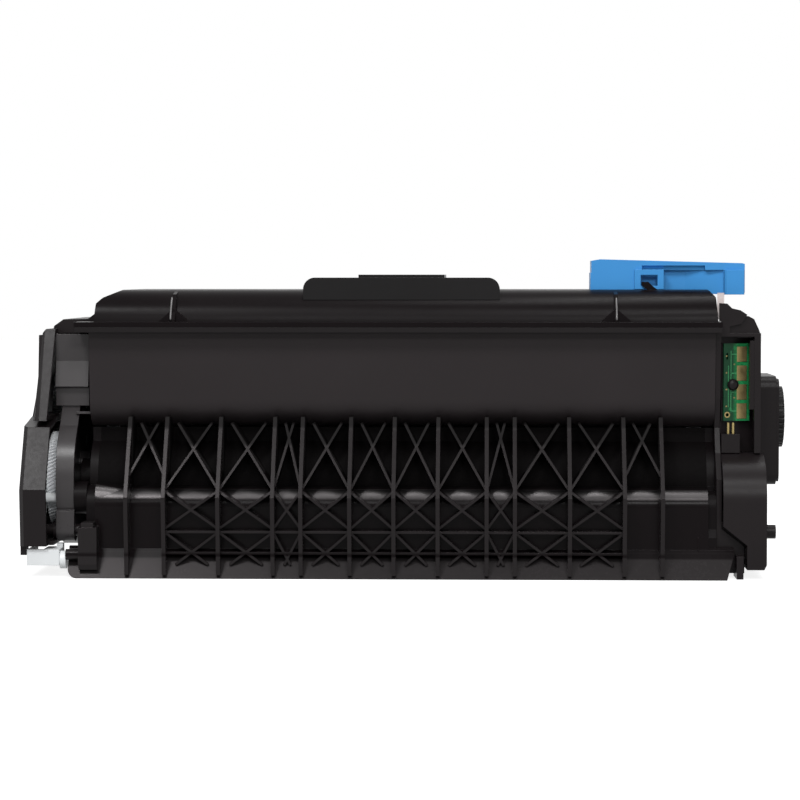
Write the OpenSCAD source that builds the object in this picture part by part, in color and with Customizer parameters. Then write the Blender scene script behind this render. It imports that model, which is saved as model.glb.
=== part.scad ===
/* [Toner hopper] */
// Length of the hopper over its end walls
hopper_l = 254.6; // [250:0.2:259]
// Thickness of the hopper walls
hopper_wall = 2; // [1.6:0.1:2.4]
// Place of the front wall at the flange, measured back from the drum side
hopper_front = -38.5; // [-40:0.5:-37.5]
// Place of the back wall
hopper_back = 60; // [58:0.5:64]
// Height of the underside of the flange
flange_z = 98.9; // [97:0.1:101]
// Thickness of one half of the flange
flange_t = 2.1; // [1.8:0.1:2.6]
// How far the flange stands out past the back wall
flange_lip = 3; // [2:0.5:5]
// Radius of the curved skirt below the front wall
skirt_r = 12; // [11:0.5:12.5]
// Thickness of the skirt
skirt_t = 1.8; // [1.4:0.1:2.2]

/* [Lid] */
// Height of the crown of the lid above the flange
crown_h = 13; // [10:0.5:15]
// Radius of the front edge of the crown
crown_r = 14; // [11:0.5:16]
// Thickness of the lid skin
lid_t = 2; // [1.6:0.1:2.6]
// Length of the carrying handle
handle_l = 80; // [70:0.5:90]
// Height of the handle plate over the crown
handle_h = 5; // [4.5:0.5:8]
// Length of the grip tongue
tongue_l = 35; // [28:0.5:40]

/* [Drum] */
// Radius of the photoconductor drum
drum_r = 15; // [14:0.1:15.5]
// Gap between each end of the drum tube and the end of the hopper
drum_gap = 4.3; // [4.2:0.1:7]
// Height of the drum axis above the table
drum_z = 38; // [37:0.25:39]
// Wall of the drum tube
drum_wall = 0.8; // [0.6:0.1:1.2]
// Radius of the fixed drum axle
axle_r = 3; // [2.5:0.1:3.5]
// Teeth of the fine helical gear beside the drum
helical_teeth = 76; // [72:1:78]
// Module of the fine helical gear
helical_module = 0.5; // [0.45:0.01:0.51]

/* [Gear train] */
// Module of the spur gears
gear_module = 0.8; // [0.79:0.005:0.81]
// Face width of the spur gears
gear_w = 4.5; // [3.5:0.1:4.6]
// Play between meshing teeth
backlash = 0.14; // [0.08:0.02:0.2]
// Radius of the stud that carries the idler gear
stud_r = 2.5; // [2:0.1:3]

/* [Rollers] */
// Gap that rollers keep from what they run against
roller_gap = 0.3; // [0.3:0.05:0.5]
// Radius of the charge roller
charge_r = 6; // [5:0.1:6.2]
// Radius of the foam supply roller
supply_r = 7.4; // [7:0.1:7.6]
// Radius of the roller journals
journal_r = 3; // [2.6:0.1:3.2]
// Radius of the waste auger
auger_r = 3; // [2.4:0.1:3.2]
// Radius that the stirring film sweeps
film_reach = 22; // [18:0.5:22.5]
// Radial play of a running journal
run_fit = 0.05; // [0.03:0.01:0.08]

/* [Paper guide] */
// Width between the outermost guide ribs
guide_w = 215.2; // [205:0.2:220]
// Thickness of a guide rib
rib_t = 1.6; // [1.2:0.1:2.2]
// Thickness of a lattice bar
bar_t = 1.0; // [0.8:0.1:1.4]
// Height of the knee of the ribs
knee_z = 33; // [31:0.5:35]
// How far the knee of the ribs stands out past the lower wall
knee_out = 11; // [9:0.5:13]
// Height of the top ends of the ribs
rib_top_z = 64.5; // [63:0.5:66]
// Place of the outer face of the lower wall
wall_front = -47; // [-48:0.25:-46.5]
// Wall thickness of the paper guide
guide_wall = 1.5; // [1.2:0.1:1.8]
// Radius of the top edge of the lower wall
edge_r = 8; // [6:0.5:8.5]
// Height of the ledge behind the top edge
ledge_z = 36.5; // [35.5:0.25:37]
// Height of the flared base band
band_z = 11.5; // [9:0.5:13]

/* [End covers] */
// Gap between the hopper and the rim of the left end plate
left_gap = 5.3; // [4.5:0.1:6.5]
// Width of the rim of the left end plate
rim_w = 7.3; // [6.5:0.1:8]
// Wall thickness of the end covers
cover_t = 2; // [1.6:0.1:2.4]
// Thickness of the right end plate
end_plate_t = 2.2; // [1.8:0.1:2.6]
// Width of the right cover
right_cover_w = 17.5; // [15:0.25:20]
// Width of the round side cap
side_cap_w = 8.6; // [7:0.1:10]
// Radius of the toner filler cap
filler_r = 12.8; // [11:0.1:14]
// Thickness of the circuit board with the contact pads
board_t = 1; // [0.8:0.1:1.6]

/* [Seal handle] */
// Length of the seal handle
seal_l = 62.6; // [58:0.2:70]
// Height of the seal handle
seal_h = 12.5; // [10:0.5:14]
// Depth of the seal handle
seal_d = 15; // [12:0.5:18]

/* [Hidden] */
$fn = 48;

// Clearances
seat = 0.05;
air = 0.3;

// Lengths along the cartridge, from its middle plane
half = hopper_l / 2;
plate_in = -half - left_gap;
plate_out = plate_in - rim_w;
web_t = 3;
web_in = plate_out + web_t;
helical_gap = 0.5;
helical_in = plate_out - helical_gap;
helical_out = helical_in - 4.5;
spur_in = helical_out - 0.3;
spur_out = spur_in - gear_w;
gear_room = 1.4;
cover_in = spur_out - gear_room;
left_reach = cover_in - cover_t;
right_plate_out = half + end_plate_t;
right_cover_out = right_plate_out + right_cover_w;
cap_out = right_cover_out + side_cap_w;
filler_disc_t = 3.6;
right_reach = cap_out + filler_disc_t;

// Tooth counts of the spur train
drum_teeth = 38;
developer_teeth = 20;
idler_teeth = 24;
supply_teeth = 14;
agitator_teeth = 40;
auger_teeth = 17;
pressure_angle = 20;

// Axes of the turning parts in (y, z)
function polar(at, r, a) = [at[0] + r * cos(a), at[1] + r * sin(a)];
function mesh(a, b) = gear_module * (a + b) / 2;
function turn(p, q) = atan2(q[1] - p[1], q[0] - p[0]);
// Point at distance ra from a and rb from b, on the upper side of the line from a to b
function meet(a, ra, b, rb) =
    let(d = norm(b - a), along = (ra * ra - rb * rb + d * d) / (2 * d))
    polar(a, ra, turn(a, b) + acos(along / ra));

developer_angle = 12;
supply_angle = -25;
charge_angle = 80;
auger_angle = 197;
agitator_angle = 95;
drum_at = [-19, drum_z];
developer_r = mesh(drum_teeth, developer_teeth) - drum_r - roller_gap;
developer_at = polar(drum_at, mesh(drum_teeth, developer_teeth), developer_angle);
supply_at = polar(developer_at, developer_r + supply_r + roller_gap, supply_angle);
idler_at = meet(developer_at, mesh(developer_teeth, idler_teeth),
                supply_at, mesh(supply_teeth, idler_teeth));
agitator_at = polar(idler_at, mesh(idler_teeth, agitator_teeth), agitator_angle);
charge_at = polar(drum_at, drum_r + charge_r + roller_gap, charge_angle);
auger_at = polar(drum_at, mesh(drum_teeth, auger_teeth), auger_angle);

// Overall place: the middle of the bounding box lies over the origin
front_reach = wall_front - knee_out;
back_reach = hopper_back + flange_lip;
shift = [-(left_reach + right_reach) / 2, -(front_reach + back_reach) / 2, 0];

black = "#2b2a2c";
steel = "#b9bcc0";

// Lays an outline drawn in (y, z) along the cartridge from x0 to x1
module along_x(x0, x1) {
    translate([x0, 0, 0]) rotate([90, 0, 90]) linear_extrude(x1 - x0) children();
}

// Raises an outline drawn in (x, y) from z0 to z1
module along_z(z0, z1) {
    translate([0, 0, z0]) linear_extrude(z1 - z0) children();
}

// Lays an outline drawn in (x, z) through the cartridge from y0 to y1
module along_y(y0, y1) {
    translate([0, y1, 0]) rotate([90, 0, 0]) linear_extrude(y1 - y0) children();
}

// Round bar along the cartridge about the axis at (y, z)
module bar(at, r, x0, x1) {
    translate([x0, at[0], at[1]]) rotate([0, 90, 0]) cylinder(r = r, h = x1 - x0);
}

// Cone along the cartridge
module cone(at, r0, r1, x0, x1) {
    translate([x0, at[0], at[1]]) rotate([0, 90, 0]) cylinder(r1 = r0, r2 = r1, h = x1 - x0);
}

module block(x0, x1, y0, y1, z0, z1) {
    translate([x0, y0, z0]) cube([x1 - x0, y1 - y0, z1 - z0]);
}

module disc(at, r) {
    translate(at) circle(r = r);
}

module rect(y0, y1, z0, z1) {
    translate([y0, z0]) square([y1 - y0, z1 - z0]);
}

// Involute spur gears
function involute(base, r) =
    let(t = sqrt(max(0, r * r / (base * base) - 1)))
    t * 180 / PI - atan(t);

// Half the angle of a tooth at radius r
function half_tooth(m, n, r, play) =
    let(pitch = m * n / 2, base = pitch * cos(pressure_angle))
    90 / n - play * 90 / (PI * pitch) + involute(base, pitch) - involute(base, max(r, base));

function tooth(m, n, a, play) =
    let(pitch = m * n / 2, tip = pitch + 0.8 * m, root = pitch - 1.15 * m,
        base = pitch * cos(pressure_angle), foot = max(root, base),
        rs = [for (k = [0 : 3]) foot + (tip - foot) * k / 3],
        w0 = half_tooth(m, n, foot, play))
    concat(
        [root * [cos(a - w0 - 0.4 / n), sin(a - w0 - 0.4 / n)]],
        [for (r = rs) r * [cos(a - half_tooth(m, n, r, play)), sin(a - half_tooth(m, n, r, play))]],
        [for (k = [3 : -1 : 0]) let(r = rs[k], w = half_tooth(m, n, r, play)) r * [cos(a + w), sin(a + w)]],
        [root * [cos(a + w0 + 0.4 / n), sin(a + w0 + 0.4 / n)]]);

module gear_outline(m, n, phase) {
    polygon([for (i = [0 : n - 1]) each tooth(m, n, phase + 360 * i / n, backlash / 2)]);
}

// Phase that lets gear b mesh with gear a, whose phase is pa, across the line from a to b
function phase_of(a, pa, na, b, nb) =
    turn(a, b) + 180 + (180 - (pa - turn(a, b)) * na) / nb;

drum_phase = 0;
developer_phase = phase_of(drum_at, drum_phase, drum_teeth, developer_at, developer_teeth);
idler_phase = phase_of(developer_at, developer_phase, developer_teeth, idler_at, idler_teeth);
supply_phase = phase_of(idler_at, idler_phase, idler_teeth, supply_at, supply_teeth);
agitator_phase = phase_of(idler_at, idler_phase, idler_teeth, agitator_at, agitator_teeth);
auger_phase = phase_of(drum_at, drum_phase, drum_teeth, auger_at, auger_teeth);

module spur_gear(at, n, phase, x0, x1) {
    along_x(x0, x1) translate(at) gear_outline(gear_module, n, phase);
}

// Spur gear with a lightened web and a hub, fixed on a shaft
module shaft_gear(at, n, phase, shaft) {
    pitch = gear_module * n / 2;
    hub = min(shaft + 2, pitch - 2);
    difference() {
        spur_gear(at, n, phase, spur_out, spur_in);
        bar(at, shaft, spur_out - 1, spur_in + 1);
        if (pitch - 2 - hub > 1.5) {
            difference() {
                bar(at, pitch - 2, spur_out - 1, spur_out + gear_w / 3);
                bar(at, hub, spur_out - 2, spur_in);
            }
        }
    }
}

// Heights and depths that several pieces share
bend_z = flange_z - 26.9;
floor_z = 69;
hopper_top = flange_z + flange_t;
lid_z = hopper_top + flange_t;
crown_z = lid_z + crown_h;
trough_r = film_reach + 1.5 + hopper_wall;
chamber_gap = 2;
blade_face = -3.3;
blade_top_z = developer_at[1] + 19.2;
bush_r = journal_r + 1.7;
auger_journal = 2;
filler_bore = 8.6;
filler_neck = filler_bore + 1.6;
filler_at = polar(agitator_at, 15.2, -108);
side_cap_at = [filler_at[0] - 4, filler_at[1] - 4.6];
side_cap_r = 22.5;
skirt_at = [hopper_front + 2.5 + skirt_r, bend_z];
spacer_places = [[50, 88], [50, 68], [-18, 90]];
right_screws = [[50, 90], [50, 70], [-24, 92]];
screw_r = 1.1;
flange_front = -45;
seal_front = -24;

// Outer shape of the toner reservoir in (y, z), drawn in by t
module reservoir_outline(t, top) {
    polygon([
        [hopper_front + t, flange_z], [hopper_front + t, top],
        [hopper_back - t, top], [hopper_back - t, floor_z + 1 + t], [hopper_back - 3, floor_z + 1 + t],
        [agitator_at[0] + 20, floor_z - 10 + t],
        [agitator_at[0], floor_z - 9 + t], [0, floor_z + t],
        [skirt_at[0] - 8 + t, floor_z + t], [hopper_front + 2.5 + t, bend_z + t / 2]
    ]);
    intersection() {
        disc(agitator_at, trough_r - t);
        rect(-60, hopper_back, 0, flange_z);
    }
}

// Chamber round the supply roller and the developer roller
module chamber_outline(t) {
    disc(supply_at, supply_r + chamber_gap + hopper_wall - t);
    disc(developer_at, developer_r + chamber_gap + hopper_wall - t);
    polygon([
        [blade_face + t, developer_at[1] + 4], [blade_face + t, blade_top_z + 3],
        [agitator_at[0] + 17 - t, blade_top_z],
        [supply_at[0] + supply_r + chamber_gap + hopper_wall - t, supply_at[1]],
        supply_at, developer_at
    ]);
}

module flange_plan() {
    translate([plate_in + 0.2, flange_front])
        square([right_plate_out - plate_in - 0.2, back_reach - flange_front]);
}

module toner_hopper() {
    inner_half = half - hopper_wall;
    boss_l = 4;
    color(black) translate(shift) difference() {
        union() {
            difference() {
                union() {
                    along_x(-half, half) reservoir_outline(0, hopper_top);
                    along_x(-half, half) chamber_outline(0);
                    translate([0, 0, flange_z]) linear_extrude(flange_t) flange_plan();
                }
                along_x(-inner_half, inner_half) reservoir_outline(hopper_wall, hopper_top + 1);
                along_x(-inner_half, inner_half) chamber_outline(hopper_wall);
                // Room for the drum and the doctor blade in front of the chamber
                bar(drum_at, drum_r + 1.8, -half - 1, half + 1);
                block(-half - 1, half + 1, -22, blade_face, developer_at[1], blade_top_z);
            }
            // Skirt that carries the curve of the front wall down over the charge roller
            along_x(-half, half) intersection() {
                difference() {
                    disc(skirt_at, skirt_r);
                    disc(skirt_at, skirt_r - skirt_t);
                }
                rect(skirt_at[0] - skirt_r, skirt_at[0], skirt_at[1] - skirt_r, skirt_at[1]);
            }
            // Spacers that seat the left end plate
            for (at = spacer_places) bar(at, 3.4, web_in, -half);
            bar(agitator_at, journal_r + 2, inner_half - boss_l, half);
            for (at = right_screws) bar(at, 3, inner_half - boss_l, half);
            bar(filler_at, filler_neck, half - 1, cap_out - 1);
        }
        bar(agitator_at, journal_r + run_fit, -half - 1, -inner_half + 1);
        bar(agitator_at, journal_r + run_fit, inner_half - boss_l - 1, half - 1);
        for (at = [developer_at, supply_at]) {
            bar(at, bush_r + seat, -half - 1, -inner_half + 1);
            bar(at, bush_r + seat, inner_half - 1, half + 1);
        }
        bar(filler_at, filler_bore, inner_half - 1, cap_out);
        for (at = spacer_places) bar(at, screw_r, web_in - 1, -half - 0.5);
        for (at = right_screws) bar(at, screw_r, inner_half - boss_l + 1, half + 1);
    }
}

// Crown of the lid: its section in (y, z) and its ends in (x, z), drawn in by t
crown_front = hopper_front - 1.5;
crown_at = [crown_front + crown_r, crown_z - crown_r];
crown_left = -half + 2;
crown_right = half + 1.1;

module crown_profile(t) {
    disc(crown_at, crown_r - t);
    polygon([
        [crown_at[0], hopper_top - 1], [crown_at[0], crown_z - t],
        [hopper_back - 15, crown_z - t], [hopper_back - 2 - 1.4 * t, hopper_top - 1]
    ]);
}

module crown_ends(t) {
    polygon([
        [crown_left + t, hopper_top - 1], [crown_left + 0.9 + t, crown_z - 5.5],
        [crown_left + 3.4 + t, crown_z - 3.2 - t / 2], [crown_left + 10.8, crown_z - t],
        [crown_right - 3.4, crown_z - t], [crown_right - 0.9 - t, crown_z - 3 - t / 2],
        [crown_right - t, hopper_top - 1]
    ]);
}

module crown(t) {
    intersection() {
        along_x(-half - 5, half + 5) crown_profile(t);
        along_y(crown_front - 5, hopper_back + 5) crown_ends(t);
    }
}

// Fin on the front of the crown with a low wing on each side
module lid_gusset(x) {
    fin_t = 1.4;
    wing_w = 7;
    wing_h = 5.6;
    along_x(x - fin_t / 2, x + fin_t / 2) polygon([
        [flange_front + 1, lid_z - 1], [flange_front + 1, lid_z + 1.1], [crown_front + 3, crown_z - 1.8],
        [crown_at[0] - 5, crown_z - 0.7], [crown_at[0], crown_z - 6], [crown_at[0], lid_z - 1]
    ]);
    along_y(crown_front - 2, crown_front + 0.6) polygon([
        [x - wing_w, lid_z - 0.5], [x, lid_z + wing_h], [x + wing_w, lid_z - 0.5]
    ]);
}

gusset_places = [-0.724 * half, 0.683 * half];
// The seal handle reaches past the end of the lid
seal_x1 = half + 12.8;
seal_x0 = seal_x1 - seal_l;
loop_x0 = seal_x0 + 17.6;
loop_w = 11.9;
loop_bar = 2.5;
seal_z0 = crown_z + seat;
loop_low_z = seal_z0 + 1.6;
loop_front = seal_front - 1.2;

module hopper_lid() {
    color(black) translate(shift) {
        difference() {
            union() {
                translate([0, 0, hopper_top + seat]) linear_extrude(flange_t - seat) flange_plan();
                intersection() {
                    crown(0);
                    block(-half - 9, half + 9, -60, hopper_back + 9, hopper_top + seat, crown_z + 1);
                }
                for (x = gusset_places) lid_gusset(x);
            }
            difference() {
                crown(lid_t);
                // Stiffening ribs under the crown
                for (k = [-2 : 2])
                    block(k * half / 3 - 0.8, k * half / 3 + 0.8, -60, 80, hopper_top + 1, crown_z);
            }
        }
        lid_hook();
    }
}

// Hook that stands on the lid and reaches into the loop of the seal handle
module lid_hook() {
    x0 = loop_x0 + loop_bar + 0.4;
    nib_z = loop_low_z + 0.1;
    along_y(loop_front - 1.5, loop_front - seat) polygon([
        [x0, nib_z + 1.5], [x0, nib_z], [x0 + 3, nib_z - 2.2], [x0 + 4.4, crown_z - 2.5],
        [x0 + 8.5, crown_z - 2.5], [x0 + 7.6, nib_z - 2.6], [x0 + 4.6, nib_z - 0.4], [x0 + 2.6, nib_z + 1.5]
    ]);
    block(x0, x0 + 2.6, loop_front - 0.5, loop_front + 2, nib_z, nib_z + 1.5);
}

// Pull handle on the lid: an upright plate with a grip tongue behind it
module carry_handle() {
    plate_y = crown_front + 4;
    plate_t = 2.5;
    back_y = plate_y + plate_t;
    corner = 4.8;
    rib = 0.8;
    inner = handle_l / 2 - corner;
    top = crown_z + handle_h;
    color(black) translate(shift) difference() {
        union() {
            along_y(plate_y, plate_y + plate_t) {
                rect(-handle_l / 2, handle_l / 2, crown_z - 6, top - corner);
                rect(-inner, inner, crown_z - 6, top);
                for (s = [-1, 1]) disc([s * inner, top - corner], corner);
            }
            block(-tongue_l / 2, tongue_l / 2, back_y - 0.5, 14, top - 1.2, top + 1.2);
            for (s = [-1, 1]) {
                tongue_rib_x = s * (tongue_l / 2 - 4);
                plate_rib_x = s * (handle_l / 2 - 9);
                block(tongue_rib_x - rib, tongue_rib_x + rib, back_y - 0.5, 10, crown_z - 4, top - 1);
                block(plate_rib_x - rib, plate_rib_x + rib, back_y - 0.5, back_y + 9,
                      crown_z - 4, crown_z + 2.5);
            }
        }
        crown(-seat);
    }
}

// Paper guide: ribs and lattice in front of the lower wall
guide_x = -2.5;
guide_end = half - 3.4;
knee_y = wall_front - knee_out;
band_front = wall_front - 8;
band_t = 2;
recess_r = drum_r + 2.7;
recess_y = drum_at[0] - recess_r * cos(65);
recess_top_z = skirt_at[1] - skirt_r - 0.3;
rib_share = [0, 0.1645, 0.3467, 0.4517, 0.6561, 0.8597, 1];
rib_places = [for (k = [-6 : 6]) guide_x + sign(k) * rib_share[abs(k)] * guide_w / 2];
rib_gap = 0.5;

// Everything behind the outer face of the lower wall and the recess, drawn in by t
module guide_region(t) {
    edge_y = wall_front + edge_r;
    polygon([
        [band_front + t, -1], [wall_front + t, band_z], [wall_front + t, ledge_z - edge_r],
        [edge_y, ledge_z - edge_r], [edge_y, -1]
    ]);
    disc([edge_y, ledge_z - edge_r], edge_r - t);
    rect(edge_y - 0.01, drum_at[0], -1, ledge_z - t);
    intersection() {
        disc(drum_at, recess_r - t);
        rect(-60, drum_at[0], drum_z - 10, 80);
    }
    rect(recess_y + t, drum_at[0], drum_z, recess_top_z);
}

module guide_shell(t) {
    intersection() {
        difference() {
            guide_region(0);
            guide_region(t);
        }
        rect(-70, drum_at[0], 0, 80);
    }
}

// Bar of the lattice from p to q in (x, z)
module strip(p, q) {
    along = (q - p) / norm(q - p);
    across = [-along[1], along[0]] * bar_t / 2;
    polygon([p - across, q - across, q + across, p + across]);
}

module upper_lattice() {
    top_inset = 4;
    top_z = 62;
    for (k = [0 : len(rib_places) - 2]) {
        x0 = rib_places[k];
        x1 = rib_places[k + 1];
        low_z = k == 0 || k == len(rib_places) - 2 ? ledge_z + 4 : ledge_z - 1;
        strip([x0, low_z], [x1 - top_inset, top_z]);
        strip([x1, low_z], [x0 + top_inset, top_z]);
    }
}

module lower_lattice() {
    cross_z = 20;
    bar_z = 18.8;
    low_bar_z = 10.2;
    low_inset = 4.4;
    foot_z = 5.5;
    inner_l = rib_places[1];
    inner_r = rib_places[len(rib_places) - 2];
    for (k = [1 : len(rib_places) - 3]) {
        x0 = rib_places[k];
        x1 = rib_places[k + 1];
        strip([x0, cross_z], [x1, ledge_z - 1]);
        strip([x1, cross_z], [x0, ledge_z - 1]);
        strip([x0, bar_z], [x1 - low_inset, foot_z]);
        strip([x1, bar_z], [x0 + low_inset, foot_z]);
    }
    strip([inner_l, bar_z], [inner_r, bar_z]);
    strip([inner_l, low_bar_z], [inner_r, low_bar_z]);
}

// Section of a rib in (y, z), with its front edge drawn back by t
module rib_section(t, low_z, high_z) {
    intersection() {
        difference() {
            polygon([
                [band_front + t, 1.5], [knee_y + t, knee_z], [knee_y + 18 + t, rib_top_z],
                [recess_y + 1, rib_top_z], [recess_y + 1, drum_z], [wall_front + 3, 1.5]
            ]);
            guide_region(guide_wall / 2);
            disc(skirt_at, skirt_r + rib_gap);
        }
        rect(-70, 0, low_z, high_z);
    }
}

module base_band() {
    corner = 4;
    left = -guide_end - 10.4;
    right = guide_end + 10.3;
    intersection() {
        along_x(left, right) intersection() {
            guide_shell(band_t);
            rect(-70, wall_front + 6, 0, band_z + 1);
        }
        along_y(-70, 0) {
            disc([left + corner, corner], corner);
            rect(left, left + corner, corner, 20);
            polygon([
                [left + corner, 0], [left + corner, 20],
                [right, 20], [right, band_z - 2], [right - 3.2, 0]
            ]);
        }
    }
}

module paper_guide() {
    setback = 3.5;
    color(black) translate(shift) {
        difference() {
            union() {
                along_x(-guide_end, guide_end) guide_shell(guide_wall);
                base_band();
                // Housing of the auger end that swells out of the top edge
                cone(auger_at, auger_r + 3.5, auger_r + 1.5, -guide_end, -guide_end + 13);
                for (x = rib_places) along_x(x - rib_t / 2, x + rib_t / 2) rib_section(0, 0, 80);
                intersection() {
                    along_y(-60, recess_y + 2) upper_lattice();
                    along_x(rib_places[0], rib_places[12]) rib_section(setback + 0.5, ledge_z - 2, 80);
                }
                intersection() {
                    along_y(-60, wall_front + 8) lower_lattice();
                    along_x(rib_places[1], rib_places[11]) rib_section(setback, 0, ledge_z);
                }
            }
            along_x(-guide_end - 1, guide_end + 1) intersection() {
                guide_region(guide_wall);
                rect(-70, drum_at[0], band_z, ledge_z);
            }
        }
        // Foot block and moulded peg at the left end
        difference() {
            union() {
                along_x(-guide_end - 5.6, -guide_end + 1.9) polygon([
                    [wall_front - 9, 5.8], [wall_front - 9, 20.6], [wall_front + 1.5, 20.6],
                    [wall_front + 1.5, 3.5], [wall_front - 7.4, 3.5]
                ]);
                block(-guide_end - 4.4, -guide_end + 0.5, wall_front - 8.5, wall_front + 1.5, 20, 22.6);
            }
            along_x(-guide_end - 6, -guide_end + 2) guide_region(0);
        }
        bar([wall_front - 5, 9.5], 2.2, -guide_end - 11, -guide_end - 5.6);
        // Low ridge near the right end of the wall
        block(guide_end - 4.3, guide_end - 3.8, wall_front - 0.6, wall_front + 0.5, band_z - 1, band_z + 5);
    }
}

// Frame of the cleaning unit: waste toner floor between two end walls
module waste_end_outline() {
    intersection() {
        guide_region(0);
        rect(-70, drum_at[0], band_z + 1 + seat, 80);
    }
    intersection() {
        guide_region(band_t + seat);
        rect(-70, drum_at[0], 2, band_z + 2);
    }
    disc(drum_at, drum_r + 1.5);
    rect(skirt_at[0] + air, charge_at[0] + 6.4, drum_z, floor_z - 3.2);
}

hub_r = 6;
step_back = 1.8;
blade_dip = 3.5;
rubber_t = 0.9;
bracket_t = 1.2;
waste_floor_z = 25;
rubber_back = drum_at[0] - sqrt(pow(drum_r + air, 2) - blade_dip * blade_dip);
bracket_back = rubber_back - rubber_t;
charge_half = guide_end - 7;

module waste_frame() {
    color("#333235") translate(shift) difference() {
        union() {
            along_x(-half, -guide_end) waste_end_outline();
            along_x(guide_end, half) difference() {
                waste_end_outline();
                // The right end wall stands back above a chamfered block
                difference() {
                    polygon([
                        [-70, band_z + 5], [wall_front, band_z + 5], [wall_front + step_back, band_z + 8.2],
                        [auger_at[0] + auger_r, band_z + 8.2], [auger_at[0] + auger_r, ledge_z + 1],
                        [-70, ledge_z + 1]
                    ]);
                    guide_region(step_back);
                }
            }
            bar(drum_at, hub_r + 2.2, plate_in, -half + 1);
            block(-guide_end, guide_end, wall_front + guide_wall + seat, bracket_back + 1.5,
                  waste_floor_z - 1.5, waste_floor_z);
            block(-guide_end, guide_end, bracket_back, bracket_back + 1.5,
                  waste_floor_z - 1.5, waste_floor_z + 3.5);
            bar(auger_at, auger_r + 3.5, plate_in, -half);
        }
        bar(drum_at, hub_r + 0.6, plate_in - 1, -guide_end + 1);
        bar(drum_at, axle_r + seat, guide_end - 1, half + 1);
        bar(auger_at, auger_journal + run_fit, plate_in - 1, -guide_end + 1);
        bar(auger_at, auger_journal + run_fit, guide_end - 1, half - 0.8);
    }
}

module wiper_bracket() {
    l = guide_end - 4;
    color(steel) translate(shift) {
        block(-l, l, bracket_back - bracket_t, bracket_back - seat,
              waste_floor_z + seat, waste_floor_z + 8.5);
        block(-l, l, bracket_back - 7, bracket_back - bracket_t,
              waste_floor_z + seat, waste_floor_z + bracket_t);
    }
}

module wiper_blade() {
    l = guide_end - 6;
    color("#8a7f5c") translate(shift)
        block(-l, l, bracket_back, rubber_back, waste_floor_z + 3.5 + air, drum_z - blade_dip);
}

// Charge roller, its sliding blocks and their springs
module charge_shaft() {
    color(steel) translate(shift) bar(charge_at, journal_r, -guide_end + 1, guide_end - 1);
}

module charge_rubber() {
    color("#1d1d1f") translate(shift) difference() {
        bar(charge_at, charge_r, -charge_half, charge_half);
        bar(charge_at, journal_r + seat, -charge_half - 1, charge_half + 1);
    }
}

charge_block_top = charge_at[1] + journal_r + 1.6;

module charge_blocks() {
    w = 4.4;
    color("#e9e6dc") translate(shift) for (s = [-1, 1]) {
        x0 = s * (charge_half + 3.2) - 2;
        difference() {
            block(x0, x0 + 4, charge_at[0] - w, charge_at[0] + w, charge_at[1] - 3, charge_block_top);
            bar(charge_at, journal_r + run_fit, x0 - 1, x0 + 5);
        }
    }
}

// Compression spring as a swept wire, from z0 to z1 about (x, y)
module coil(x, y, z0, z1, r, wire, turns) {
    sides = 6;
    steps = 12 * turns;
    rise = z1 - z0 - 2 * wire;
    points = [for (i = [0 : steps]) for (j = [0 : sides - 1])
        let(a = 360 * turns * i / steps, b = 360 * j / sides, q = r + wire * cos(b))
        [x + q * cos(a), y + q * sin(a), z0 + wire + rise * i / steps + wire * sin(b)]];
    walls = [for (i = [0 : steps - 1]) for (j = [0 : sides - 1])
        let(a = i * sides + j, b = i * sides + (j + 1) % sides)
        [a, a + sides, b + sides, b]];
    first = [for (j = [0 : sides - 1]) j];
    last = [for (j = [sides - 1 : -1 : 0]) steps * sides + j];
    polyhedron(points, concat(walls, [first, last]));
}

module charge_springs() {
    color(steel) translate(shift) for (s = [-1, 1])
        coil(s * (charge_half + 3.2), charge_at[0], charge_block_top + seat, floor_z - seat, 1.7, 0.25, 4);
}

// Photoconductor drum on its fixed axle
tube_half = half - drum_gap;
plug_l = 8;

module drum_axle() {
    color(steel) translate(shift) bar(drum_at, axle_r, cover_in - cover_t + 0.5, right_plate_out + 1);
}

module drum_tube() {
    color("#2f6f62") translate(shift) difference() {
        bar(drum_at, drum_r, -tube_half, tube_half);
        bar(drum_at, drum_r - drum_wall, -tube_half - 1, tube_half + 1);
    }
}

module drum_plug(x0, x1, rim0, rim1) {
    bar(drum_at, drum_r - drum_wall - seat, x0, x1);
    bar(drum_at, drum_r - 0.4, rim0, rim1);
}

// Fine helical gear, pressed onto the hub of the left drum flange
module drum_helical_gear() {
    twist = 7;
    color("#f1efe8") translate(shift) difference() {
        translate([helical_in, drum_at[0], drum_at[1]]) rotate([90, 0, -90])
            linear_extrude(helical_in - helical_out, twist = twist, slices = 1)
                polygon([for (i = [0 : helical_teeth - 1]) each fine_tooth(360 * i / helical_teeth)]);
        bar(drum_at, hub_r + seat, helical_out - 1, helical_in + 1);
    }
}

// Trapezoid tooth of the fine gear, about the angle a
function fine_tooth(a) =
    let(pitch = helical_module * helical_teeth / 2, tip = pitch + 0.8 * helical_module,
        root = pitch - helical_module, step = 360 / helical_teeth)
    [for (q = [[root, -0.3], [tip, -0.12], [tip, 0.12], [root, 0.3]])
        q[0] * [cos(a + q[1] * step), sin(a + q[1] * step)]];

module drum_flange_left() {
    color("#f1efe8") translate(shift) difference() {
        union() {
            drum_plug(-tube_half, -tube_half + plug_l, -tube_half - 0.5, -tube_half);
            bar(drum_at, hub_r, spur_in, -tube_half);
            spur_gear(drum_at, drum_teeth, drum_phase, spur_out, spur_in);
        }
        bar(drum_at, axle_r + run_fit, spur_out - 1, -tube_half + plug_l + 1);
    }
}

module drum_flange_right() {
    color("#f1efe8") translate(shift) difference() {
        drum_plug(tube_half - plug_l, tube_half, tube_half, tube_half + 0.5);
        bar(drum_at, axle_r + run_fit, tube_half - plug_l - 1, tube_half + 1);
    }
}

// Developer roller: magnetic sleeve on a through shaft, driven by a gear
sleeve_half = guide_end - 8;
right_end_x = half + end_plate_t - 0.4;

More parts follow.
